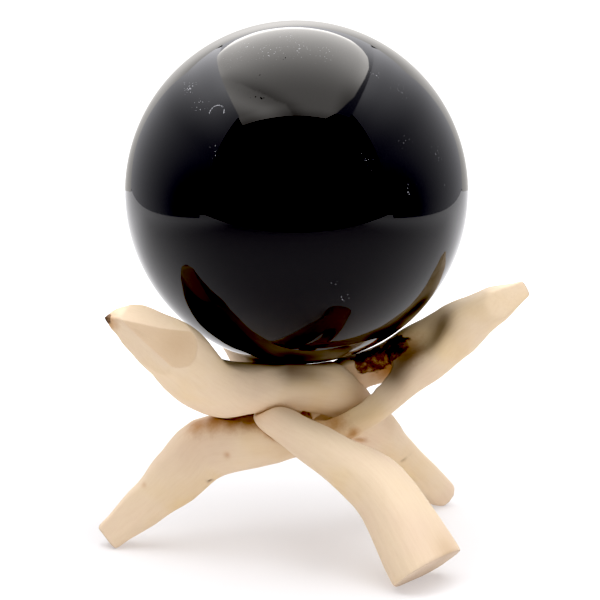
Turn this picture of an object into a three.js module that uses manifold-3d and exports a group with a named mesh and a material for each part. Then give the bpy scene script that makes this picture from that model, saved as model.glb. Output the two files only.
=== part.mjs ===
// A polished black stone ball resting on a stand of three bent sticks. Each stick has a
// slot through its widened middle, and the next stick passes through that slot, so the
// three lock into a tripod whose upper arms cradle the ball. Millimetres, +Z up, table at 0.
import * as THREE from 'three';
import { mergeVertices } from 'three/addons/utils/BufferGeometryUtils.js';
import Module from 'manifold-3d';

const wasm = await Module();
wasm.setup();

// Driving dimensions.
const ballRadius = 50;
const ballHeight = 103.5;
const gap = 0.3;
const ringSides = 20;
const ringsPerStick = 38;
const ballSides = 48;
const ballRings = 28;
const bluntness = 2.5;
const slotSteps = 14;
const slotReach = 14;
const blockSize = 200;
const woodColour = 0xe6cdae;
const stoneColour = 0x060607;

const up = new THREE.Vector3(0, 0, 1);

// Each stick is told from its arm tip to its foot. A station is where the middle of the
// wood is, half its width across the slot, half its thickness through the slot, and how
// far the width is rolled about the stick, in degrees.
const sticks = {
  left_arm_stick: {
    stations: [
      { at: [-54, -37.8, 75.1], width: 2.4, thick: 2, roll: 0, lean: 0 },
      { at: [-50, -37.2, 74.3], width: 5.4, thick: 4.6, roll: 0, lean: 0 },
      { at: [-43.4, -35.6, 70.8], width: 8, thick: 7.3, roll: 0, lean: 0 },
      { at: [-36, -31, 64.2], width: 9.6, thick: 8.7, roll: 3, lean: 0 },
      { at: [-29.1, -25, 56.6], width: 11, thick: 9.6, roll: 6, lean: 0 },
      { at: [-22.3, -18.4, 49.9], width: 12.2, thick: 8.8, roll: 12, lean: 0.05 },
      { at: [-13.6, -12.6, 45.9], width: 13, thick: 7.4, roll: 27, lean: 0.15 },
      { at: [-3.2, -8.8, 42.6], width: 13.5, thick: 6.6, roll: 41, lean: 0.3 },
      { at: [9.8, -2.2, 38.6], width: 13, thick: 6.4, roll: 41, lean: 0.3 },
      { at: [21, 6, 31.5], width: 8.5, thick: 6, roll: 20, lean: 0.1 },
      { at: [30.2, 15, 22], width: 6.2, thick: 5.3, roll: 0, lean: 0 },
      { at: [45.3, 31, 2.7], width: 5, thick: 4.6, roll: 0, lean: 0 },
    ],
    slot: { from: 0.49, to: 0.76, width: 6, shift: 0 },
    flats: [
      { at: [-43.2, -40.2, 70.3], facing: [-0.45, -0.8, -0.4] },
      { at: [-43.4, -35.6, 77.2], facing: [-0.25, -0.3, 0.92] },
    ],
  },
  right_arm_stick: {
    stations: [
      { at: [67.5, -2, 75.5], width: 3.6, thick: 2.6, roll: 0, lean: 0 },
      { at: [57, -1, 69.5], width: 7, thick: 5.8, roll: 0, lean: 0 },
      { at: [46.8, 0, 62.3], width: 9, thick: 7.9, roll: 5, lean: 0 },
      { at: [36, -1, 54.6], width: 12, thick: 7.6, roll: 12, lean: 0.15 },
      { at: [25, -3, 48], width: 13.5, thick: 5.3, roll: 19, lean: 0.28 },
      { at: [10, -8.5, 39.4], width: 12.5, thick: 5.2, roll: 26, lean: 0.2 },
      { at: [-8, -13, 32.8], width: 7.5, thick: 7.4, roll: 10, lean: 0 },
      { at: [-26, -10, 29.2], width: 7.4, thick: 9.4, roll: 0, lean: 0 },
      { at: [-35, -11, 21], width: 7, thick: 8.4, roll: 0, lean: 0 },
      { at: [-43.4, -12, 13.4], width: 6.2, thick: 6.4, roll: 0, lean: 0 },
      { at: [-56, -13, 2.6], width: 4.8, thick: 4.2, roll: 0, lean: 0 },
    ],
    slot: { from: 0.36, to: 0.58, width: 6, shift: 0 },
    flats: [
      { at: [60, -6.5, 70], facing: [0.3, -0.85, 0.3] },
      { at: [-50, -17.2, 8], facing: [-0.35, -0.9, 0.25] },
    ],
  },
  rear_arm_stick: {
    stations: [
      { at: [-31, 57, 75], width: 3, thick: 3, roll: 0, lean: 0 },
      { at: [-25, 45, 70], width: 8, thick: 7, roll: 0, lean: 0 },
      { at: [-19, 31, 61], width: 9.5, thick: 7.5, roll: 8, lean: 0 },
      { at: [-13, 14, 52], width: 8, thick: 6, roll: 20, lean: 0 },
      { at: [-7.5, -1, 44], width: 7.5, thick: 5.2, roll: 32, lean: 0 },
      { at: [0, -16, 35.6], width: 14.2, thick: 5, roll: 36, lean: 0.2 },
      { at: [11.6, -28.2, 31.8], width: 12.5, thick: 6.8, roll: 22, lean: 0.1 },
      { at: [24, -39, 24.5], width: 9.6, thick: 8, roll: 5, lean: 0 },
      { at: [36.9, -49, 4.8], width: 12.6, thick: 8.5, roll: 0, lean: 0 },
    ],
    slot: { from: 0.52, to: 0.79, width: 6.4, shift: -2.5 },
    flats: [
      { at: [-28, 51, 67], facing: [-0.4, 0.8, -0.45] },
    ],
  },
};

function solidFrom(geometry) {
  geometry.deleteAttribute('normal');
  geometry.deleteAttribute('uv');
  const merged = mergeVertices(geometry, 1e-4);
  return new wasm.Manifold(new wasm.Mesh({
    numProp: 3,
    vertProperties: Float32Array.from(merged.attributes.position.array),
    triVerts: Uint32Array.from(merged.index.array),
  }));
}

function geometryFrom(solid) {
  const mesh = solid.getMesh();
  const geometry = new THREE.BufferGeometry();
  geometry.setAttribute('position', new THREE.BufferAttribute(mesh.vertProperties, 3));
  geometry.setIndex(new THREE.BufferAttribute(mesh.triVerts, 1));
  geometry.computeVertexNormals();
  return geometry;
}

// The value of one station field at t, blended smoothly between its neighbours.
function along(stations, t, field) {
  const place = t * (stations.length - 1);
  const index = Math.min(Math.floor(place), stations.length - 2);
  const blend = THREE.MathUtils.smoothstep(place - index, 0, 1);
  return THREE.MathUtils.lerp(stations[index][field], stations[index + 1][field], blend);
}

// The middle of the stick at t, with its direction, its width's direction and its face's.
function frameAt(stick, t) {
  const curve = stick.curve;
  const middle = curve.getPoint(t);
  const forward = curve.getTangent(t);
  const side = new THREE.Vector3().crossVectors(forward, up).normalize();
  const face = new THREE.Vector3().crossVectors(side, forward).normalize();
  const roll = THREE.MathUtils.degToRad(along(stick.stations, t, 'roll'));
  const rolledSide = side.clone().multiplyScalar(Math.cos(roll)).addScaledVector(face, Math.sin(roll));
  const rolledFace = face.clone().multiplyScalar(Math.cos(roll)).addScaledVector(side, -Math.sin(roll));
  return { middle, forward, side: rolledSide, face: rolledFace };
}

// A closed body through a list of rings with the same number of points each.
function loft(rings) {
  const positions = [];
  const indices = [];
  const sides = rings[0].length;
  for (const ring of rings) {
    for (const point of ring) {
      positions.push(point.x, point.y, point.z);
    }
  }
  for (let row = 0; row + 1 < rings.length; row += 1) {
    for (let column = 0; column < sides; column += 1) {
      const a = row * sides + column;
      const b = row * sides + (column + 1) % sides;
      indices.push(a, a + sides, b, b, a + sides, b + sides);
    }
  }
  const last = (rings.length - 1) * sides;
  for (let column = 1; column + 1 < sides; column += 1) {
    indices.push(0, column, column + 1);
    indices.push(last, last + column + 1, last + column);
  }
  const geometry = new THREE.BufferGeometry();
  geometry.setAttribute('position', new THREE.Float32BufferAttribute(positions, 3));
  geometry.setIndex(indices);
  return geometry;
}

// A rounded-square ring: a superellipse in the plane of the width and the face.
function ringAt(frame, halfWidth, halfThick, lean) {
  const points = [];
  for (let step = 0; step < ringSides; step += 1) {
    const angle = (step / ringSides) * 2 * Math.PI;
    const across = Math.sign(Math.cos(angle)) * Math.abs(Math.cos(angle)) ** (2 / bluntness);
    const through = Math.sign(Math.sin(angle)) * Math.abs(Math.sin(angle)) ** (2 / bluntness);
    points.push(frame.middle.clone()
      .addScaledVector(frame.side, across * halfWidth)
      .addScaledVector(frame.face, through * halfThick * (1 + lean * across)));
  }
  return points;
}

function stickBody(stick, grow) {
  const rings = [];
  for (let row = 0; row < ringsPerStick; row += 1) {
    const t = row / (ringsPerStick - 1);
    rings.push(ringAt(
      frameAt(stick, t),
      along(stick.stations, t, 'width') + grow,
      along(stick.stations, t, 'thick') + grow,
      along(stick.stations, t, 'lean'),
    ));
  }
  return solidFrom(loft(rings));
}

// The slot: a long oval hole right through the face of the widened middle. It drifts to
// one side by the slot's shift as it nears the leg.
function slotCutter(stick, shrink) {
  const { from, to, width, shift } = stick.slot;
  const rings = [];
  for (let step = 0; step <= slotSteps; step += 1) {
    const turn = (step / slotSteps) * Math.PI;
    const share = (1 - Math.cos(turn)) / 2;
    const half = Math.max(width * Math.sin(turn) ** 0.6, 2 * gap) - shrink;
    const frame = frameAt(stick, THREE.MathUtils.lerp(from, to, share));
    const corner = (across, through) => frame.middle.clone()
      .addScaledVector(frame.side, across * half + share * shift)
      .addScaledVector(frame.face, through * slotReach);
    rings.push([corner(1, -1), corner(1, 1), corner(-1, 1), corner(-1, -1)]);
  }
  return solidFrom(loft(rings));
}

// Everything on the far side of a plane: a large block standing on it.
function beyond(at, facing) {
  const block = new THREE.BoxGeometry(blockSize, blockSize, blockSize);
  block.translate(0, 0, blockSize / 2);
  const turn = new THREE.Quaternion().setFromUnitVectors(up, new THREE.Vector3(...facing).normalize());
  block.applyQuaternion(turn);
  block.translate(...at);
  return solidFrom(block);
}

function ballGeometry(radius) {
  const geometry = new THREE.SphereGeometry(radius, ballSides, ballRings);
  geometry.rotateX(Math.PI / 2);
  return geometry;
}

// A stick with its slot, as it is or thicker all round by the clearance its neighbours keep.
function slottedStick(stick, grow) {
  return stickBody(stick, grow).subtract(slotCutter(stick, grow));
}

const seat = solidFrom(ballGeometry(ballRadius + gap).translate(0, 0, ballHeight));
const belowTable = beyond([0, 0, 0], [0, 0, -1]);

for (const stick of Object.values(sticks)) {
  stick.curve = new THREE.CatmullRomCurve3(
    stick.stations.map(({ at }) => new THREE.Vector3(...at)), false, 'centripetal');
}

function finishedStick(name, neighbours) {
  const stick = sticks[name];
  let body = slottedStick(stick, 0).subtract(seat).subtract(belowTable);
  for (const { at, facing } of stick.flats) {
    body = body.subtract(beyond(at, facing));
  }
  for (const neighbour of neighbours) {
    body = body.subtract(slottedStick(sticks[neighbour], gap));
  }
  return body;
}

const bodies = {
  left_arm_stick: finishedStick('left_arm_stick', []),
  right_arm_stick: finishedStick('right_arm_stick', ['left_arm_stick', 'rear_arm_stick']),
  rear_arm_stick: finishedStick('rear_arm_stick', ['left_arm_stick']),
};

const group = new THREE.Group();
for (const [name, body] of Object.entries(bodies)) {
  const mesh = new THREE.Mesh(
    geometryFrom(body),
    new THREE.MeshStandardMaterial({ color: woodColour, roughness: 0.7, metalness: 0 }),
  );
  mesh.name = name;
  group.add(mesh);
}

const ball = new THREE.Mesh(
  ballGeometry(ballRadius),
  new THREE.MeshStandardMaterial({ color: stoneColour, roughness: 0.05, metalness: 0 }),
);
ball.name = 'stone_ball';
ball.position.z = ballHeight;
group.add(ball);

// The origin is under the middle of the whole piece, on the table.
const middle = new THREE.Box3().setFromObject(group).getCenter(new THREE.Vector3());
group.position.set(-middle.x, -middle.y, 0);

export default group;
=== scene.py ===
# %% [markdown]
# # A polished black stone ball on a stand of interlocked sticks
# The solids fix every size and place. Here they get their looks: a mirror-bright ball of black
# volcanic glass, and three sticks of pale raw wood, whittled by hand and locked through one
# another's slots. The light is a small white tent, because a mirror ball shows its whole room.

# %% Load the fixed frame
import math

import bmesh
import bpy
import numpy as np
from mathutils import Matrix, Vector, kdtree, noise


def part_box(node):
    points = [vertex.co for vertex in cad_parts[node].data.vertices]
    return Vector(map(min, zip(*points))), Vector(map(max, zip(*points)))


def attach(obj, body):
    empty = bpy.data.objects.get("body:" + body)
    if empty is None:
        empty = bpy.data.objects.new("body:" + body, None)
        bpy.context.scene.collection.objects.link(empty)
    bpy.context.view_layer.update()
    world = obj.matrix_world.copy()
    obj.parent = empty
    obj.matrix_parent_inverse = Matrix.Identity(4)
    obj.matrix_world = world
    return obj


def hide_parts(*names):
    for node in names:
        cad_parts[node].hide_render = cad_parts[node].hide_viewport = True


MM = 0.001
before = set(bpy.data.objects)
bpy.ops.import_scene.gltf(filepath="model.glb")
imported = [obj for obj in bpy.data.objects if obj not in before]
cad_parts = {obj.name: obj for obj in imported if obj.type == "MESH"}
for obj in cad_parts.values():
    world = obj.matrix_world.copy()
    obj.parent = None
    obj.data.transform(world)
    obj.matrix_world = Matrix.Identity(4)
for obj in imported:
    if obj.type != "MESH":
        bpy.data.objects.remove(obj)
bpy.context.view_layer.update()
ball_low, ball_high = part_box("stone_ball")
ball_centre = (ball_low + ball_high) / 2
ball_radius = (ball_high.z - ball_low.z) / 2
print("ball centre", [round(v, 4) for v in ball_centre], "radius", round(ball_radius, 4))

# %% [markdown]
# ## The camera
# The piece is seen from a little above, from far enough away that the legs hardly grow towards
# the viewer. A long lens does that. The camera looks at a point below the ball's centre, so
# that ball and stand both have room around them.

# %% Place the camera
CAMERA_DISTANCE = 700 * MM
CAMERA_ELEVATION = math.radians(12)
AIM_RIGHT = 1.0 * MM
AIM_BELOW = 31.3 * MM

camera_data = bpy.data.cameras.new("camera")
camera_data.lens = 144
camera_data.sensor_width = 36
camera_data.clip_start = 0.01
camera = bpy.data.objects.new("camera", camera_data)
bpy.context.scene.collection.objects.link(camera)
look = Vector((0, math.cos(CAMERA_ELEVATION), -math.sin(CAMERA_ELEVATION)))
camera.rotation_euler = look.to_track_quat("-Z", "Y").to_euler()
view_up = Vector((0, math.sin(CAMERA_ELEVATION), math.cos(CAMERA_ELEVATION)))
aim = ball_centre + Vector((AIM_RIGHT, 0, 0)) - view_up * AIM_BELOW
camera.location = aim - look * CAMERA_DISTANCE
bpy.context.scene.camera = camera
print("camera at", [round(v, 3) for v in camera.location])

# %% [markdown]
# ## The light tent
# A polished ball shows everything around it, so the light is built as a real white tent, open
# to the front: a roof with a fold in its cloth, a dimmer cover above it, a back and two sides.
# Each wall is a sheet that glows, and only reflections see it. The wood is lit by soft lamps
# and by an even fill, so the two can be balanced apart.

# %% Helpers for materials
def node_material(name):
    """An empty node material, and its tree."""
    material = bpy.data.materials.new(name)
    material.use_nodes = True
    tree = material.node_tree
    tree.nodes.clear()
    return material, tree


def add(tree, kind, settings=None, inputs=None):
    """One node, with its settings and its unlinked input values."""
    node = tree.nodes.new(kind)
    for key, value in (settings or {}).items():
        setattr(node, key, value)
    for key, value in (inputs or {}).items():
        node.inputs[key].default_value = value
    return node


def paint(piece, name, values):
    """A number or three on every point of a mesh, for its material to read."""
    kind, field = ("FLOAT_VECTOR", "vector") if values.ndim == 2 else ("FLOAT", "value")
    marks = piece.data.attributes.new(name, kind, "POINT")
    marks.data.foreach_set(field, values.ravel())


def grid_faces(columns, rows):
    """Squares between the points of a grid that is laid out row by row."""
    corners = [row * columns + column for row in range(rows - 1) for column in range(columns - 1)]
    return [(c, c + 1, c + 1 + columns, c + columns) for c in corners]


def mesh_object(name, points, faces):
    """A mesh from points and faces, put into the scene."""
    mesh = bpy.data.meshes.new(name)
    mesh.from_pydata(points, [], faces)
    mesh.update()
    piece = bpy.data.objects.new(name, mesh)
    bpy.context.scene.collection.objects.link(piece)
    return piece


def softstep(values, low, high):
    """From 0 at low to 1 at high, with soft ends."""
    t = np.clip((values - low) / (high - low), 0, 1)
    return t * t * (3 - 2 * t)


def bell(values, width):
    """One at zero, falling off softly on both sides."""
    return np.exp(-(values / width) ** 2)


# %% Cloth that glows
WARM_WHITE = (1.0, 0.97, 0.94)
COOL_WHITE = (0.965, 0.96, 1.0)


def glowing(name, colour):
    """Cloth that shines as strongly as the number painted on its points."""
    material, tree = node_material(name)
    strength = add(tree, "ShaderNodeAttribute", {"attribute_name": "glow"})
    glow = add(tree, "ShaderNodeEmission", None, {"Color": (*colour, 1)})
    out = add(tree, "ShaderNodeOutputMaterial")
    tree.links.new(strength.outputs["Fac"], glow.inputs["Strength"])
    tree.links.new(glow.outputs[0], out.inputs["Surface"])
    return material


def tent_sheet(name, across, along, place, brightness, material, cell=(20, 20)):
    """A sheet of the tent: place turns two spans of millimetres into points around the ball."""
    u = np.linspace(*across, int((across[1] - across[0]) / cell[0]) + 1)
    v = np.linspace(*along, int((along[1] - along[0]) / cell[1]) + 1)
    grid_u, grid_v = [grid.ravel() for grid in np.meshgrid(u, v)]
    points = np.stack(np.broadcast_arrays(*place(grid_u, grid_v)), axis=1)
    sheet = mesh_object(name, points * MM + np.array(ball_centre), grid_faces(len(u), len(v)))
    paint(sheet, "glow", brightness(grid_u, grid_v))
    sheet.data.materials.append(material)
    sheet.visible_camera = sheet.visible_diffuse = sheet.visible_shadow = False


# %% Cut and light the cloth
# Millimetres around the ball's middle: x to the right, y away from the viewer, z up. The roof's
# edges are rows of y and x, and the fold in its cloth is rows of x and y. A glow of 1 is white.
ROOF_HEIGHT, ROOF_FRONT, ROOF_BACK = 580, -354, 1077
ROOF_LEFT_EDGE = [(-354, -418), (-197, -409), (247, -403), (462, -444), (775, -381), (986, -293),
                  (1077, -184)]
ROOF_RIGHT_EDGE = [(-354, 205), (-284, 262), (-198, 295), (-73, 337), (155, 357), (314, 363),
                   (501, 344), (626, 311), (804, 251), (944, 139), (1029, -7), (1077, -184)]
SIDE_REACH, SIDE_FLARE, SIDE_FRONT = 400, 110, -250
BACK_REACH, BACK_HEIGHT = 640, 340
COVER_FRONT, COVER_BACK, COVER_ABOVE = ROOF_FRONT + 65, 1700, 15
SEAM = 8
FLOOR_LEVEL = -ball_centre.z / MM
FOLD = [(-403, 247), (-323, 67), (-229, -81), (-124, -204), (-62, -249), (-20, -354)]


def edge_at(edge, y):
    """The roof's edge at a distance back."""
    return np.interp(y, [row[0] for row in edge], [row[1] for row in edge])


def roof_place(share, y):
    """A point of the roof: share runs from 0 at the left edge to 100 at the right one."""
    left, right = edge_at(ROOF_LEFT_EDGE, y), edge_at(ROOF_RIGHT_EDGE, y)
    return left + share / 100 * (right - left), y, ROOF_HEIGHT


def roof_glow(share, y):
    """Brighter beyond the fold and towards the back, with a rim of light along both edges."""
    x = roof_place(share, y)[0]
    fold_x = np.interp(-y, [-row[1] for row in FOLD], [row[0] for row in FOLD])
    beyond = (x - fold_x) * 0.8
    right = (2.3 + 1.4 * softstep(y, -150, 300)
             + 0.5 * softstep(x, 100, 350) * softstep(y, -100, 200))
    left = 2.0 + 1.1 * bell(beyond + 125, 80) + 0.6 * softstep(y, -250, 200)
    cloth = np.where(beyond > 0, right - 0.6 * bell(beyond, 60), left)
    rim = (0.9 * bell(share - 100, 6) * softstep(y, 0, 250)
           + 0.8 * bell(share, 6) * softstep(y, 100, 400))
    arc = 2.6 * softstep(y + 0.0016 * (x + 60) ** 2, 820, 1000)
    front = 0.72 + 0.28 * softstep(y, ROOF_FRONT, ROOF_FRONT + 90)
    corner = 1 - 0.3 * softstep(x, 210, 320) * (1 - softstep(y, -200, 120))
    return (cloth + rim + arc) * front * corner


def cover_glow(x, y):
    """The dimmer cloth that closes the tent around the roof."""
    return 1.05 + 0.9 * softstep(y, 0, 700)


def back_glow(x, z):
    """Brightest high up and a little to the left, as if lit through from behind."""
    return 0.95 + 0.4 * softstep(z, -60, 200) + bell(x + 60, 185) * softstep(z, 80, 300)


def side_glow(strength):
    """A side that is bright at the top and dim towards the viewer."""
    def glow(y, z):
        low = 0.82 + 0.24 * softstep(z, -60, 220)
        high = softstep(z, 210, 470) + 0.6 * softstep(z, 430, 600)
        return low + strength * high * (0.15 + 0.85 * softstep(y, -300, 120))
    return glow


def side_place(side):
    """One side, which leans outwards near the floor."""
    def place(y, z):
        return side * (SIDE_REACH + SIDE_FLARE * (1 - softstep(z, -100, 60))), y, z
    return place


# %% Hang the sheets
warm_cloth = glowing("warm tent cloth", WARM_WHITE)
cool_cloth = glowing("cool tent cloth", COOL_WHITE)
tent_sheet("tent_roof", (0, 100), (ROOF_FRONT, ROOF_BACK), roof_place, roof_glow, warm_cloth,
           cell=(1, 12))
tent_sheet("tent_cover", (SEAM - SIDE_REACH, SIDE_REACH - SEAM), (COVER_FRONT, COVER_BACK),
           lambda x, y: (x, y, ROOF_HEIGHT + COVER_ABOVE), cover_glow, cool_cloth)
tent_sheet("tent_back", (-SIDE_REACH - SIDE_FLARE, SIDE_REACH + SIDE_FLARE),
           (FLOOR_LEVEL, BACK_HEIGHT), lambda x, z: (x, BACK_REACH, z), back_glow, warm_cloth)
for side, label, strength in ((-1, "left", 1.15), (1, "right", 0.62)):
    tent_sheet("tent_" + label, (SIDE_FRONT, ROOF_BACK), (FLOOR_LEVEL + 10, ROOF_HEIGHT + 40),
               side_place(side), side_glow(strength), cool_cloth)
print("tent", 2 * SIDE_REACH, "mm wide, roof", ROOF_HEIGHT, "mm over the ball's middle")

# %% [markdown]
# ## The table and the lamps
# The stand is on a pale board that takes its shadows. The board glows a little of its own
# accord, more so far away, so that it fades into the white behind and stays even in the ball.
# Two wide lamps, one above and a weak one at the front right, give the wood its soft light.

# %% The floor
# The glow rises towards the back, and towards the sides beyond a strip that is kept even.
FLOOR_FRONT, FLOOR_BACK, FLOOR_HALF = 400 * MM, 660 * MM, 700 * MM
FLOOR_COLUMNS, FLOOR_ROWS = 28, 40
FLOOR_WHITE, FLOOR_GLOW_COLOUR = (0.6, 0.59, 0.6), (0.97, 0.97, 1)
NEAR_GLOW, FAR_GLOW = 0.36, 0.5
FAR_BEGINS, FAR_FULL, EVEN_STRIP = 60 * MM, 300 * MM, 220 * MM

middle = Vector((ball_centre.x, ball_centre.y, 0))
floor_x = np.linspace(-FLOOR_HALF, FLOOR_HALF, FLOOR_COLUMNS + 1)
floor_y = np.linspace(-FLOOR_FRONT, FLOOR_BACK, FLOOR_ROWS + 1)
floor = mesh_object("floor", [Vector((x, y, 0)) + middle for y in floor_y for x in floor_x],
                    grid_faces(len(floor_x), len(floor_y)))
far_off = np.maximum(floor_y[:, None], np.abs(floor_x)[None, :] - EVEN_STRIP)
paint(floor, "glow", (NEAR_GLOW + FAR_GLOW * softstep(far_off, FAR_BEGINS, FAR_FULL)).ravel())
floor_material, tree = node_material("white board")
board = add(tree, "ShaderNodeBsdfPrincipled", None,
            {"Base Color": (*FLOOR_WHITE, 1), "Roughness": 0.9, "Specular IOR Level": 0,
             "Emission Color": (*FLOOR_GLOW_COLOUR, 1)})
glow = add(tree, "ShaderNodeAttribute", {"attribute_name": "glow"})
out = add(tree, "ShaderNodeOutputMaterial")
tree.links.new(glow.outputs["Fac"], board.inputs["Emission Strength"])
tree.links.new(board.outputs[0], out.inputs["Surface"])
floor.data.materials.append(floor_material)
print("floor", round(2 * FLOOR_HALF, 2), "m wide")

# %% Fill light and soft lamps
# BEHIND is the white that shows past the table, and FILL is an even light on wood and table.
# The lamps' places and sizes are in metres around the middle of the table, power in watts.
BEHIND, FILL, FILL_TINT = 1.3, 0.34, (1, 0.985, 0.97)
LAMPS = {"roof_lamp": ((0.0, 0.02, 0.68), (1.1, 0.9), 8.4),
         "front_lamp": ((0.3, -0.7, 0.5), (0.7, 0.5), 1.3)}
LIT_HEIGHT = 50 * MM

world = bpy.data.worlds.new("white room")
bpy.context.scene.world = world
world.use_nodes = True
tree = world.node_tree
tree.nodes.clear()
path = add(tree, "ShaderNodeLightPath")
seen = add(tree, "ShaderNodeBackground", None, {"Color": (1, 1, 1, 1), "Strength": BEHIND})
fill = add(tree, "ShaderNodeBackground", None, {"Color": (*FILL_TINT, 1), "Strength": FILL})
dark = add(tree, "ShaderNodeBackground", None, {"Color": (0, 0, 0, 1), "Strength": 0})
lit = add(tree, "ShaderNodeMixShader")
choose = add(tree, "ShaderNodeMixShader")
out = add(tree, "ShaderNodeOutputWorld")
tree.links.new(path.outputs["Is Diffuse Ray"], lit.inputs["Fac"])
tree.links.new(dark.outputs[0], lit.inputs[1])
tree.links.new(fill.outputs[0], lit.inputs[2])
tree.links.new(path.outputs["Is Camera Ray"], choose.inputs["Fac"])
tree.links.new(lit.outputs[0], choose.inputs[1])
tree.links.new(seen.outputs[0], choose.inputs[2])
tree.links.new(choose.outputs[0], out.inputs["Surface"])


def lamp(name, place, size, power):
    """A soft lamp around the ball, aimed at the stand and never seen in reflections."""
    data = bpy.data.lights.new(name, "AREA")
    data.shape = "RECTANGLE"
    data.size, data.size_y = size
    data.energy = power
    light = bpy.data.objects.new(name, data)
    light.location = middle + Vector(place)
    target = middle + Vector((0, 0, LIT_HEIGHT))
    light.rotation_euler = (target - light.location).to_track_quat("-Z", "Y").to_euler()
    light.visible_glossy = light.visible_camera = False
    bpy.context.scene.collection.objects.link(light)


for name, (place, size, power) in LAMPS.items():
    lamp(name, place, size, power)
print("lamps", {name: row[-1] for name, row in LAMPS.items()})

# %% A print with deep blacks
# The black point is lifted a little, as for a catalogue print, so that the ball's faint
# reflections of a white room stay dark.
BLACK_POINT = 0.045
settings = bpy.context.scene.view_settings
settings.view_transform = "Standard"
settings.use_curve_mapping = True
settings.curve_mapping.black_level = (BLACK_POINT,) * 3
settings.curve_mapping.update()
print("black point", BLACK_POINT)

# %% [markdown]
# ## The ball
# Volcanic glass, ground round and polished. Its outline would show the flats of the solid, so
# it is made again as a fine sphere: a cube cut into small squares and pressed onto a sphere,
# which has no pinched poles. Hand polishing never leaves a perfect sphere, so the surface
# waves by a few hundredths of a millimetre, which bends the reflections a little.

# %% Noise for hand-made surfaces
def ripple(places, seed):
    """Smooth noise from -1 to 1 at each place, one unit across."""
    shift = Vector((seed * 17.31, seed * 5.77, seed * 11.13))
    return np.array([noise.noise(Vector(place) + shift) for place in places])


def unit(rows):
    """The same directions, one long."""
    rows = np.asarray(rows, float)
    return rows / np.linalg.norm(rows, axis=-1, keepdims=True)


# %% Shape of the ball
BALL_CUTS = 96
WAVE = 0.02 * MM
WAVE_LENGTH = 22 * MM


def pressed_cube(cuts):
    """Directions and faces of a cube's grid, pressed onto a sphere."""
    shape = bmesh.new()
    bmesh.ops.create_cube(shape, size=2)
    bmesh.ops.subdivide_edges(shape, edges=shape.edges[:], cuts=cuts - 1, use_grid_fill=True)
    shape.verts.ensure_lookup_table()
    grid = np.array([vert.co[:] for vert in shape.verts])
    faces = [tuple(vert.index for vert in face.verts) for face in shape.faces]
    shape.free()
    spread = np.tan(grid * math.pi / 4)
    return unit(spread), faces


directions, ball_faces = pressed_cube(BALL_CUTS)
radii = ball_radius - WAVE + WAVE * ripple(directions * ball_radius / WAVE_LENGTH, 1)
ball = mesh_object("polished_ball", directions * radii[:, None], ball_faces)
ball.location = ball_centre
ball.data.shade_smooth()
print("ball faces", len(ball.data.polygons), "widest", round(2 * radii.max() / MM, 3), "mm")

# %% [markdown]
# ## Dust and scars on the ball
# A ball that has been handled carries specks of dust, a few pinprick pits and a small hooked
# scratch. They are far smaller than the squares of its mesh, so only the patches where they
# lie are marked on its points. The material then scatters tiny grains inside the patches.

# %% Dust, pits and one scratch
# Each row is a direction from the ball's middle, a reach in millimetres and a strength.
DUST = [
    ((-0.597, -0.449, 0.665), 2.6, 1), ((-0.62, -0.357, 0.699), 1.6, 0.8),
    ((-0.271, -0.355, 0.895), 5, 0.55), ((-0.154, -0.458, 0.875), 5, 0.6),
    ((0.02, -0.46, 0.888), 5, 0.6), ((0.166, -0.487, 0.857), 5, 0.5),
    ((-0.358, -0.44, 0.824), 4, 0.4), ((0.439, -0.499, 0.747), 2, 0.6),
    ((0.573, -0.491, 0.656), 3, 0.5), ((0.387, -0.861, 0.33), 2.5, 0.8),
    ((0.416, -0.871, 0.261), 2, 0.8), ((0.614, -0.779, 0.128), 1.6, 1),
    ((0.632, -0.755, 0.177), 1.6, 0.7), ((0.591, -0.699, 0.403), 3, 0.5),
    ((-0.445, -0.809, 0.384), 1.6, 0.9), ((-0.434, -0.836, 0.337), 1.2, 0.8),
    ((-0.795, 0.02, 0.607), 5, 0.45), ((-0.533, -0.606, 0.591), 3, 0.6),
    ((0.195, -0.917, -0.348), 1.6, 0.8), ((0.265, -0.856, -0.445), 1.5, 1),
    ((-0.061, -0.317, 0.946), 4, 0.6), ((0.835, -0.527, 0.158), 2, 0.6),
    ((0.789, -0.532, 0.308), 3, 0.5),
]
PITS = [
    ((-0.212, -0.718, 0.663), 1.6, 1), ((-0.189, -0.741, 0.644), 1.2, 1),
    ((-0.242, -0.733, 0.636), 1.0, 0.9), ((-0.329, -0.646, 0.689), 1.2, 0.7),
    ((-0.061, -0.534, 0.844), 1.5, 0.6), ((-0.201, -0.624, 0.756), 1.6, 0.6),
]
HOOK_AT = (-0.439, -0.7, 0.563)
HOOK_RADIUS, HOOK_WIDTH, HOOK_DROP = 2.3 * MM, 0.13 * MM, 0.4 * MM
for label, rows in (("dust", DUST), ("pits", PITS)):
    mask = np.zeros(len(directions))
    for at, reach, strength in rows:
        away = np.linalg.norm(directions - at, axis=1) * ball_radius / MM
        mask = np.maximum(mask, strength * bell(away, reach))
    paint(ball, label, mask)
    print(label, "patches", len(rows))

# %% Black volcanic glass
# Under the polish the glass is almost black. Dust and the scratch are a pale grey, and a pit
# is a dull black hole. The scales of the grains and of the wear are in cells to the metre.
BLACK, DUST_GREY, PIT_BLACK = (0.002, 0.002, 0.0025), (0.3, 0.3, 0.33), (0.001, 0.001, 0.001)
GLASS_ROUGHNESS, GLASS_BEND = 0.04, 1.5
GRAIN_SCALE, GRAIN_SIZE = 1300, 0.3
WEAR_SCALE, WEAR_SHARE = 1500, 0.46

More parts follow.
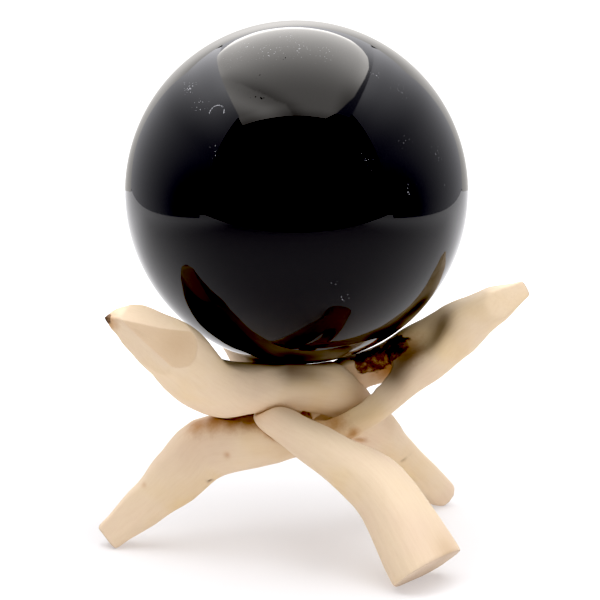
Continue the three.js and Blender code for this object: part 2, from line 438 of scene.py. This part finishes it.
ball_material, tree = node_material("black volcanic glass")
glass = add(tree, "ShaderNodeBsdfPrincipled", None,
            {"Base Color": (*BLACK, 1), "Roughness": GLASS_ROUGHNESS, "IOR": GLASS_BEND})
dust = add(tree, "ShaderNodeBsdfPrincipled", None,
           {"Base Color": (*DUST_GREY, 1), "Roughness": 0.5})
pit = add(tree, "ShaderNodeBsdfPrincipled", None,
          {"Base Color": (*PIT_BLACK, 1), "Roughness": 0.9, "Specular IOR Level": 0})
on_ball = add(tree, "ShaderNodeTexCoord").outputs["Object"]


def math_node(kind, *values):
    """One step of arithmetic in the ball's material, on links and plain numbers."""
    clamp = kind in ("MAXIMUM", "MULTIPLY")
    node = add(tree, "ShaderNodeMath", {"operation": kind, "use_clamp": clamp})
    for socket, value in zip(node.inputs, values):
        if isinstance(value, (int, float)):
            socket.default_value = value
        else:
            tree.links.new(value, socket)
    return node.outputs[0]


def dots(attribute):
    """Tiny grains, larger and closer together where the painted mark is strong."""
    cells = add(tree, "ShaderNodeTexVoronoi", None, {"Scale": GRAIN_SCALE})
    tree.links.new(on_ball, cells.inputs["Vector"])
    painted = add(tree, "ShaderNodeAttribute", {"attribute_name": attribute})
    size = math_node("MULTIPLY", painted.outputs["Fac"], GRAIN_SIZE)
    return math_node("LESS_THAN", cells.outputs["Distance"], size)


# %% Scratch the glass and scatter the dust
# The scratch is the upper part of a thin ring around one place, broken where it has worn.
reach = add(tree, "ShaderNodeVectorMath", {"operation": "DISTANCE"})
tree.links.new(on_ball, reach.inputs[0])
reach.inputs[1].default_value = [value * ball_radius for value in HOOK_AT]
ring = math_node("COMPARE", reach.outputs["Value"], HOOK_RADIUS, HOOK_WIDTH)
height = add(tree, "ShaderNodeSeparateXYZ")
tree.links.new(on_ball, height.inputs[0])
upper = math_node("GREATER_THAN", height.outputs["Z"], HOOK_AT[2] * ball_radius - HOOK_DROP)
wear = add(tree, "ShaderNodeTexNoise", None, {"Scale": WEAR_SCALE, "Detail": 3})
tree.links.new(on_ball, wear.inputs["Vector"])
worn = math_node("GREATER_THAN", wear.outputs["Fac"], WEAR_SHARE)
hook = math_node("MULTIPLY", math_node("MULTIPLY", ring, upper), worn)
dusted = add(tree, "ShaderNodeMixShader")
pitted = add(tree, "ShaderNodeMixShader")
out = add(tree, "ShaderNodeOutputMaterial")
tree.links.new(math_node("MAXIMUM", dots("dust"), hook), dusted.inputs["Fac"])
tree.links.new(glass.outputs[0], dusted.inputs[1])
tree.links.new(dust.outputs[0], dusted.inputs[2])
tree.links.new(dots("pits"), pitted.inputs["Fac"])
tree.links.new(dusted.outputs[0], pitted.inputs[1])
tree.links.new(pit.outputs[0], pitted.inputs[2])
tree.links.new(pitted.outputs[0], out.inputs["Surface"])
ball.data.materials.append(ball_material)
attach(ball, "root")
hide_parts("stone_ball")
print("ball material", len(tree.nodes), "nodes")

# %% [markdown]
# ## The sticks
# Each stick is a branch, barked, whittled and sanded. The solids carry its bends, its slot and
# its foot, but their skin is made of flats. So each is cast again as a close skin of small
# squares, and the flats are rubbed away. Then the knife work goes on top, by moving points.

# %% Cast a close skin
SKIN = 0.45 * MM
RUB_TIMES = 26


def close_skin(node_name, piece_name):
    """A fine, evenly meshed copy of a solid, with its flats rubbed smooth."""
    copy = bpy.data.objects.new(piece_name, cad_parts[node_name].data.copy())
    bpy.context.scene.collection.objects.link(copy)
    copy.data.materials.clear()
    cast = copy.modifiers.new("cast", "REMESH")
    cast.mode = "VOXEL"
    cast.voxel_size = SKIN
    rub = copy.modifiers.new("rub", "SMOOTH")
    rub.factor = 0.5
    rub.iterations = RUB_TIMES
    evaluated = copy.evaluated_get(bpy.context.evaluated_depsgraph_get())
    skin = bpy.data.meshes.new_from_object(evaluated)
    copy.modifiers.clear()
    copy.data = skin
    copy.data.shade_smooth()
    return copy


def points_of(piece):
    """The points of a mesh as rows of x, y and z."""
    flat = np.empty(len(piece.data.vertices) * 3)
    piece.data.vertices.foreach_get("co", flat)
    return flat.reshape(-1, 3)


def normals_of(piece):
    """Which way the surface faces at each point."""
    flat = np.empty(len(piece.data.vertices) * 3)
    piece.data.vertex_normals.foreach_get("vector", flat)
    return flat.reshape(-1, 3)


def put_points(piece, points):
    """Moves the points of a mesh to new places."""
    piece.data.vertices.foreach_set("co", points.ravel())
    piece.data.update()


# %% Follow a stick with its grain
# The wood's fibres run along the branch, so every point is given its length along the branch
# and its two offsets from the middle. Grain, streaks and cracks are laid out in those.
BRANCHES = {
    "left_arm_stick": [
        (-59.1, -36, 75.1), (-55.1, -35.4, 74.3), (-48.5, -33.8, 70.8), (-41.1, -29.2, 64.2),
        (-34.2, -23.2, 56.6), (-27.4, -16.6, 49.9), (-18.7, -10.8, 45.9), (-8.3, -7, 42.6),
        (4.7, -0.4, 38.6), (15.9, 7.8, 31.5), (25.2, 16.8, 22), (40.2, 32.8, 2.7),
    ],
    "right_arm_stick": [
        (62.4, -0.2, 75.5), (51.9, 0.8, 69.5), (41.7, 1.8, 62.3), (30.9, 0.8, 54.6),
        (19.9, -1.2, 48), (4.9, -6.7, 39.4), (-13.1, -11.2, 32.8), (-31.1, -8.2, 29.2),
        (-40.1, -9.2, 21), (-48.5, -10.2, 13.4), (-61.1, -11.2, 2.6),
    ],
    "rear_arm_stick": [
        (-36.1, 58.8, 75), (-30.1, 46.8, 70), (-24.1, 32.8, 61), (-18.1, 15.8, 52),
        (-12.6, 0.8, 44), (-5.1, -14.2, 35.6), (6.5, -26.4, 31.8), (18.9, -37.2, 24.5),
        (31.8, -47.2, 4.8),
    ],
}


def curve_through(stations, per_gap=16):
    """Points along a smooth curve through the stations."""
    stops = np.array(stations, float) * MM
    stops = np.vstack([2 * stops[0] - stops[1], stops, 2 * stops[-1] - stops[-2]])
    t = np.linspace(0, 1, per_gap, endpoint=False)[:, None]
    rows = []
    for a, b, c, d in zip(stops, stops[1:], stops[2:], stops[3:]):
        rows.append(0.5 * (2 * b + (c - a) * t + (2 * a - 5 * b + 4 * c - d) * t ** 2
                           + (3 * b - a - 3 * c + d) * t ** 3))
    return np.vstack(rows + [stops[-2:-1]])


def grain_places(points, line):
    """Length along the branch, and offsets sideways and upwards, for each point."""
    lengths = np.concatenate([[0], np.cumsum(np.linalg.norm(np.diff(line, axis=0), axis=1))])
    forward = unit(np.gradient(line, axis=0))
    side = unit(np.cross(forward, (0, 0, 1)))
    up = np.cross(side, forward)
    nearest = np.concatenate([((block[:, None] - line) ** 2).sum(2).argmin(1)
                              for block in np.array_split(points, 40)])
    offset = points - line[nearest]
    return np.stack([lengths[nearest] + (offset * forward[nearest]).sum(1),
                     (offset * side[nearest]).sum(1), (offset * up[nearest]).sum(1)], axis=1)


# %% [markdown]
# ## Knife work
# The maker pared each branch with a few flat cuts and rubbed it round with rasp and sandpaper.
# A cut takes off what stands above a plane. The swellings and hollows of a real branch are
# soft moves around a place. Raised grain and the unevenness of the hand are noise, stretched
# along the branch, because that is how fibres lie.

# %% The knife and the rasp
def tug(points, at, by, reach):
    """Moves the wood around one place, fading out softly."""
    away = np.linalg.norm(points - np.array(at) * MM, axis=1)
    return points + bell(away, reach * MM)[:, None] * np.array(by) * MM


def whittle(points, at, facing, reach=30, edge=0.2):
    """One flat cut of the knife: what stands above the plane is taken off."""
    at = np.array(at) * MM
    facing = unit(facing)
    height = (points - at) @ facing
    away = np.linalg.norm(points - at - height[:, None] * facing, axis=1)
    fade = 1 - softstep(away, 0.7 * reach * MM, reach * MM)
    over = edge * MM * np.logaddexp(0, height / (edge * MM)) * fade
    return points - over[:, None] * facing


def roughen(points, normals, places, grain_depth=0.03, hand_depth=0.14):
    """Hand unevenness and raised grain."""
    hand = ripple(places / np.array([16, 9, 9]) / MM, 2)
    tool = ripple(places / np.array([7, 4, 4]) / MM, 3)
    grain = ripple(places / np.array([9, 0.8, 0.8]) / MM, 4)
    depth = hand_depth * (hand + 0.45 * tool) + grain_depth * (grain - 1)
    return points + normals * depth[:, None] * MM


def along_line(points, stops):
    """Distance from each point to a line through the stops, in millimetres."""
    stops = np.array(stops, float) * MM
    nearest = np.full(len(points), np.inf)
    for start, end in zip(stops, stops[1:]):
        span = end - start
        t = np.clip((points - start) @ span / (span @ span), 0, 1)
        nearest = np.minimum(nearest, np.linalg.norm(points - start - t[:, None] * span, axis=1))
    return nearest / MM


def around(points, spots):
    """A soft mask around spots, each a place and a reach in millimetres."""
    mask = np.zeros(len(points))
    for *at, reach in spots:
        mask = np.maximum(mask, bell(np.linalg.norm(points / MM - at, axis=1), reach))
    return mask


# %% What the knife did to each stick
# A whittle is one flat cut, at a place and facing a way. A tug moves the wood around a place.
# Places, moves and reaches are in millimetres.
SHAPING = {
    "left_arm_stick": [
        (whittle, dict(at=(-50.9, -30.9, 76.9), facing=(0.27, -0.49, 0.83), edge=0.1)),
        (whittle, dict(at=(-46.3, -37, 68.7), facing=(0.268, -1, 0.35), edge=0.08)),
        (tug, dict(at=(-42, -33, 76), by=(0.3, 0, -0.9), reach=7)),
        (tug, dict(at=(-26, -20, 63), by=(-1.6, -1.2, -2.4), reach=7)),
        (tug, dict(at=(-38, -30, 54), by=(0.6, 0, 0.5), reach=9)),
        (tug, dict(at=(-4, -19, 54), by=(0, 0, 3.2), reach=9)),
        (tug, dict(at=(7, -15, 53), by=(0, 0, 3.0), reach=8)),
        (tug, dict(at=(8, -5, 51), by=(0, 0, 2.2), reach=7)),
        (tug, dict(at=(-2, -12, 53), by=(0, 0, 1.0), reach=9)),
        (tug, dict(at=(3, -9, 52), by=(0, 0, 1.2), reach=7)),
        (tug, dict(at=(-27, -21, 61.5), by=(-1.0, -0.8, -1.5), reach=6)),
        (tug, dict(at=(33.5, 16, 19), by=(-0.9, 0, -0.3), reach=10)),
    ],
    "right_arm_stick": [
        (whittle, dict(at=(54.8, -4.4, 69.9), facing=(0.3, -0.85, 0.3))),
        (whittle, dict(at=(-55.0, -15.1, 8), facing=(-0.35, -0.9, 0.25))),
        (tug, dict(at=(30, -4, 62.5), by=(1.0, 0, -2.0), reach=7)),
        (tug, dict(at=(33, -4, 65), by=(1.0, 0, -1.8), reach=6)),
        (tug, dict(at=(6, 1, 50), by=(0, 0, 2.5), reach=7)),
        (tug, dict(at=(21, 4, 55), by=(0, 0, -1.2), reach=6)),
    ],
    "rear_arm_stick": [
        (tug, dict(at=(-17, -20, 36), by=(-2.8, 0, 1.0), reach=6)),
        (tug, dict(at=(4, -30, 24), by=(0.8, 0, 0.4), reach=10)),
    ],
}

# %% Shape the three sticks
# Last of all, a thin gap is kept around the ball, so that wood and glass never share a place.
SEAT_GAP = 0.2 * MM
PIECES = {"left_arm_stick": "left_stick", "right_arm_stick": "right_stick",
          "rear_arm_stick": "rear_stick"}

sticks = {}
middle_of_ball = np.array(ball_centre)
for node_name, piece_name in PIECES.items():
    stick = close_skin(node_name, piece_name)
    line = curve_through(BRANCHES[node_name])
    points = points_of(stick)
    points = roughen(points, normals_of(stick), grain_places(points, line))
    for tool, settings in SHAPING[node_name]:
        points = tool(points, **settings)
    from_ball = points - middle_of_ball
    away = np.linalg.norm(from_ball, axis=1, keepdims=True)
    points = middle_of_ball + from_ball * np.maximum(1, (ball_radius + SEAT_GAP) / away)
    put_points(stick, points)
    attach(stick, "root")
    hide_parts(node_name)
    sticks[node_name] = stick
    print(piece_name, len(stick.data.vertices), "points")

# %% [markdown]
# ## Marks in the wood
# Dark frayed fibres at a tip, a patch of bark left in a slot, a few cracks with painted shade
# inside them, two small knots, brown stain mixed with painted shade in the joints, a tan cut
# facet that is partly painted shade, and painted shade under the ball where it shades the wood.
# Each one is a mask on the points, which tells the wood's material where to change colour. Bark,
# cracks and knots also move the surface a little, because they can be felt on a real stick. The
# fibres at the tip share the mask of the bark, so they are a dark raised patch and not loose
# threads.

# %% Where the marks are
# Each row is a place and a reach in millimetres. Splits and bands of painted shade are lines of
# places, and a facet is a place and the way it faces.
BARK = {"right_arm_stick": [(16.5, 1, 53.6, 6.3), (23.5, 0, 57.3, 6)],
        "left_arm_stick": [(-58.9, -34.4, 73.7, 2.7)]}
# Bands of painted shade on the wood that faces the ball and lies in its shade.
SHADE_BAND_LINES = {"right_arm_stick": [(23.5, -8.5, 52), (26.5, -7, 55.5), (29, -5.5, 59),
                              (32.5, -6, 62.5), (36, -5, 66)],
          "left_arm_stick": [(-6, -18, 55), (8, -17, 54)]}
# Brown stain spots, some of them painted shade where the wood lies under a stick's belly and
# beside the ball.
STAIN_AND_SHADE_SPOTS = {"right_arm_stick": [(11.5, -16.8, 35.8, 2.2), (-34, -11.5, 37, 3.6),
                               (-29, -12.6, 38, 3.6), (-24, -14, 39, 3.8), (-19, -15, 39, 3.2),
                               (0, -13.5, 38.5, 4), (6, -14.5, 38, 4), (22, 3, 50, 5),
                               (26.5, -3.2, 58.3, 5.5), (28.5, -5, 56.5, 4.5)],
           "rear_arm_stick": [(13, -19, 34, 2)],
           "left_arm_stick": [(13.8, 1.5, 28.9, 2.5), (-57.8, -34.8, 72.8, 3.2)]}
SPLITS = {"left_arm_stick": [((27.1, 11, 19.4), (29.2, 11.5, 20.6), (31.1, 13.5, 21.8))],
          "right_arm_stick": [((-32.3, -13.5, 21.8), (-31.3, -13, 20.7), (-29.5, -13, 20.2))]}
KNOTS = {"right_arm_stick": [(-25.3, -16.6, 29.3, 0.9), (-49.5, -13.4, 19.3, 0.8)]}
TAN = {"right_arm_stick": [(23, 2, 51, 7), (4, 0, 50, 6)], "left_arm_stick": [(12.5, -9, 45, 6)],
       "rear_arm_stick": [(36, -49, 10, 5)]}
FACETS = {"left_arm_stick": [(-46.3, -37, 68.7, 0.268, -1, 0.35)]}
# The facet's rim gets more painted shade, where the cut curves up.
FACET_RIM_SHADE = [(-38.5, -36, 67, 5)]

# %% Lay down the marks
# Reaches along the painted lines and the depths of marks are in millimetres. Lengths that
# carry MM are in metres, and a pair is where a soft edge begins and where it is full.
SHADE_BAND_REACH, SPLIT_REACH = 4.3, 0.55
SPLIT_DEPTH, KNOT_DEPTH, CRUMB_DEPTH, FLAKE_DEPTH = 0.5, 0.35, 0.1, 0.16
FRAY, CRUMB, FLAKE = 1.6 * MM, 1.3 * MM, 3 * MM
FRAY_SHARE, BARK_EDGE = 0.2, (0.3, 0.72)
JOINT_REACH, JOINT_STAIN_AND_SHADE = 2.2 * MM, 0.5
PAINTED_SHADE_REACH = 2.6 * MM
FACET_FACING, FACET_OFF_PLANE, FACET_MIDDLE, FACET_RIM_SHADE_AMOUNT = (0.9, 0.98), (0.2, 0.6), 0.6, 0.4
TIP_SAWN, FOOT_SAWN = 3 * MM, 9 * MM
SAWN_FACING = (0.5, 0.75)


def nearness(points, others, reach):
    """One where a point touches the other pieces, falling to zero at the reach."""
    tree = kdtree.KDTree(len(others))
    for index, other in enumerate(others):
        tree.insert(other, index)
    tree.balance()
    away = np.array([tree.find(point)[2] for point in points])
    return 1 - softstep(away, 0, reach)


all_points = {name: points_of(stick) for name, stick in sticks.items()}
for name, stick in sticks.items():
    points, normals = all_points[name], normals_of(stick)
    line = curve_through(BRANCHES[name])
    places = grain_places(points, line)
    others = np.concatenate([rows[::3] for other, rows in all_points.items() if other != name])
    joint = nearness(points, others, JOINT_REACH)
    fuzz = ripple(points / FRAY, 7)
    bark = softstep(around(points, BARK.get(name, [])) + FRAY_SHARE * fuzz, *BARK_EDGE)
    split = np.zeros(len(points))
    for stops in SPLITS.get(name, []):
        split = np.maximum(split, bell(along_line(points, stops), SPLIT_REACH))
    knot = around(points, KNOTS.get(name, []))
    crumble = bark * (CRUMB_DEPTH * ripple(points / CRUMB, 8)
                      + FLAKE_DEPTH * ripple(points / FLAKE, 9))
    depth = crumble - SPLIT_DEPTH * split - KNOT_DEPTH * knot
    points = points + normals * depth[:, None] * MM
    put_points(stick, points)
    # Painted shade: the wood is darkened close to the ball and along the bands, where the ball
    # shades it.
    shade_band = bell(along_line(points, SHADE_BAND_LINES[name]), SHADE_BAND_REACH) if name in SHADE_BAND_LINES else 0
    gap_to_ball = np.linalg.norm(points - middle_of_ball, axis=1) - ball_radius
    painted_shade = np.maximum(1 - softstep(gap_to_ball, SEAT_GAP, PAINTED_SHADE_REACH), shade_band)
    # Brown stain mixed with painted shade: darker where the pieces touch, and at the listed
    # spots.
    stain_and_shade = np.maximum(JOINT_STAIN_AND_SHADE * joint, around(points, STAIN_AND_SHADE_SPOTS.get(name, [])))
    tan = around(points, TAN.get(name, []))
    # The cut facet is tinted tan, partly for its cut grain and partly as painted shade, most at
    # its rim.
    for facet in FACETS.get(name, []):
        facing = unit(facet[3:])
        height = np.abs((points - np.array(facet[:3]) * MM) @ facing) / MM
        flat = softstep(normals @ facing, *FACET_FACING)
        flat = flat * (1 - softstep(height, *FACET_OFF_PLANE))
        tan = np.maximum(tan, flat * (FACET_MIDDLE + FACET_RIM_SHADE_AMOUNT * around(points, FACET_RIM_SHADE)))
    along, foot = places[:, 0], places[:, 0].max()
    ends = np.maximum(1 - softstep(along, 0, TIP_SAWN),
                      softstep(along, foot - FOOT_SAWN, foot - TIP_SAWN))
    steep = np.abs(normals @ unit(line[-1] - line[-8]))
    masks = {"grain": places, "bark": bark, "split": split, "stain_and_shade": stain_and_shade, "knot": knot,
             "painted_shade": painted_shade, "tan": tan, "sawn": softstep(steep, *SAWN_FACING) * ends}
    for label, mask in masks.items():
        paint(stick, label, mask)
    print(name, "bark on", int((bark > 0.5).sum()), "points, joints on", int((joint > 0.5).sum()))

# %% [markdown]
# ## Raw wood
# Close-grained white wood, sanded but not varnished. Its colour drifts from cream to pink and
# straw in patches, with faint streaks along the grain. The marks laid down above, painted shade
# among them, are mixed in one after another, and the edges of the stain with its painted shade
# and of the bark are torn by noise, as they are where fibres have broken or soaked up colour
# unevenly.

# %% Colours and scales of the wood
# Scales are in waves to the metre, along the grain first where there are three of them.
DRIFT_SCALE, FINE_SCALE, TORN_SCALE, BARK_SCALE = 45, 900, 700, 420
STREAK_SCALES = (90, 1300, 1300)
TEAR = 0.7
CREAM_TO_STRAW = [(0.3, (0.82, 0.64, 0.48)), (0.5, (0.85, 0.68, 0.495)),
                  (0.7, (0.83, 0.64, 0.405))]
STREAK_TONES = [(0.35, (0.92, 0.88, 0.83)), (0.6, (1, 1, 1))]
BARK_TONES = [(0.36, (0.07, 0.035, 0.018)), (0.5, (0.19, 0.105, 0.055)),
              (0.64, (0.46, 0.3, 0.17))]
TAN_BROWN, SAWN_GREY, STAIN_AND_SHADE_BROWN = (0.56, 0.38, 0.22), (0.6, 0.47, 0.37), (0.52, 0.27, 0.11)
# On the next line, the crack colour and the last colour are painted shade: inside the cracks, and
# under the ball.
KNOT_BROWN, SPLIT_SHADE, PAINTED_SHADE_DARK = (0.6, 0.34, 0.18), (0.16, 0.08, 0.04), (0.13, 0.09, 0.065)
WOOD_ROUGHNESS, WOOD_SHINE = 0.6, 0.35
BUMP_STRENGTH, BUMP_HEIGHT = 0.2, 0.4 * MM


# %% Helpers for mixing colours
def ramp(tree, stops):
    """Turns a number into a colour, from stops of a position and a colour."""
    node = add(tree, "ShaderNodeValToRGB")
    elements = node.color_ramp.elements
    while len(elements) < len(stops):
        elements.new(0.5)
    for element, (position, colour) in zip(elements, stops):
        element.position = position
        element.color = (*colour, 1)
    return node


def noise_at(tree, vector, scale, detail=3, roughness=0.5, stretch=None):
    """Noise in the wood, stretched along the grain where that is asked for."""
    if stretch:
        mapping = add(tree, "ShaderNodeMapping", None, {"Scale": stretch})
        tree.links.new(vector, mapping.inputs["Vector"])
        vector = mapping.outputs["Vector"]
    node = add(tree, "ShaderNodeTexNoise", None,
               {"Scale": scale, "Detail": detail, "Roughness": roughness})
    tree.links.new(vector, node.inputs["Vector"])
    return node.outputs["Fac"]


def tint(tree, under, mark, over, amount, kind="MIX"):
    """Mixes a colour over another where a mark is."""
    strength = add(tree, "ShaderNodeMath", {"operation": "MULTIPLY", "use_clamp": True})
    strength.inputs[1].default_value = amount
    tree.links.new(mark, strength.inputs[0])
    mix = add(tree, "ShaderNodeMix", {"data_type": "RGBA", "blend_type": kind})
    tree.links.new(strength.outputs[0], mix.inputs["Factor"])
    tree.links.new(under, mix.inputs["A"])
    if isinstance(over, tuple):
        mix.inputs["B"].default_value = (*over, 1)
    else:
        tree.links.new(over, mix.inputs["B"])
    return mix.outputs["Result"]


def mark(tree, name, torn_by=None, low=0.35, high=0.65):
    """A painted mark, its edge torn by noise where that is given."""
    read = add(tree, "ShaderNodeAttribute", {"attribute_name": name})
    if torn_by is None:
        return read.outputs["Fac"]
    torn = add(tree, "ShaderNodeMath", {"operation": "MULTIPLY_ADD"})
    tree.links.new(torn_by, torn.inputs[0])
    torn.inputs[1].default_value = TEAR
    tree.links.new(read.outputs["Fac"], torn.inputs[2])
    edge = add(tree, "ShaderNodeMapRange", {"clamp": True},
               {"From Min": low + TEAR / 2, "From Max": high + TEAR / 2})
    tree.links.new(torn.outputs[0], edge.inputs["Value"])
    return edge.outputs["Result"]


# %% Pale raw wood
wood_material, tree = node_material("pale raw wood")
grain = add(tree, "ShaderNodeAttribute", {"attribute_name": "grain"}).outputs["Vector"]
drift = ramp(tree, CREAM_TO_STRAW)
tree.links.new(noise_at(tree, grain, DRIFT_SCALE, 3), drift.inputs["Fac"])
streaks = noise_at(tree, grain, 1, 5, 0.6, STREAK_SCALES)
streak_tone = ramp(tree, STREAK_TONES)
tree.links.new(streaks, streak_tone.inputs["Fac"])
fine = noise_at(tree, grain, FINE_SCALE, 2)
torn = noise_at(tree, grain, TORN_SCALE, 4, 0.65)
colour = tint(tree, drift.outputs["Color"], fine, streak_tone.outputs["Color"], 0.55, "MULTIPLY")
# Tan wood, and on the facet partly painted shade.
colour = tint(tree, colour, mark(tree, "tan"), TAN_BROWN, 0.6)
colour = tint(tree, colour, mark(tree, "sawn"), SAWN_GREY, 0.6)
# Brown stain, with painted shade in the joints, under a belly and beside the ball.
colour = tint(tree, colour, mark(tree, "stain_and_shade", torn, 0.15, 0.95), STAIN_AND_SHADE_BROWN, 0.8)
bark_tone = ramp(tree, BARK_TONES)
tree.links.new(noise_at(tree, grain, BARK_SCALE, 4, 0.6), bark_tone.inputs["Fac"])
colour = tint(tree, colour, mark(tree, "bark", torn), bark_tone.outputs["Color"], 1)
colour = tint(tree, colour, mark(tree, "knot"), KNOT_BROWN, 0.6)
# Painted shade inside the cracks.
colour = tint(tree, colour, mark(tree, "split"), SPLIT_SHADE, 0.8)
# Painted shade under the ball.
colour = tint(tree, colour, mark(tree, "painted_shade"), PAINTED_SHADE_DARK, 0.78)
bump = add(tree, "ShaderNodeBump", None, {"Strength": BUMP_STRENGTH, "Distance": BUMP_HEIGHT})
wood = add(tree, "ShaderNodeBsdfPrincipled", None,
           {"Roughness": WOOD_ROUGHNESS, "Specular IOR Level": WOOD_SHINE})
out = add(tree, "ShaderNodeOutputMaterial")
tree.links.new(colour, wood.inputs["Base Color"])
tree.links.new(streaks, bump.inputs["Height"])
tree.links.new(bump.outputs["Normal"], wood.inputs["Normal"])
tree.links.new(wood.outputs[0], out.inputs["Surface"])
for stick in sticks.values():
    stick.data.materials.append(wood_material)
print("wood material", len(tree.nodes), "nodes")

# %% [markdown]
# ## The pieces
# A last line names the finished pieces.

# %% Name the pieces
print("sizes written for", len(sticks) + 1, "pieces")
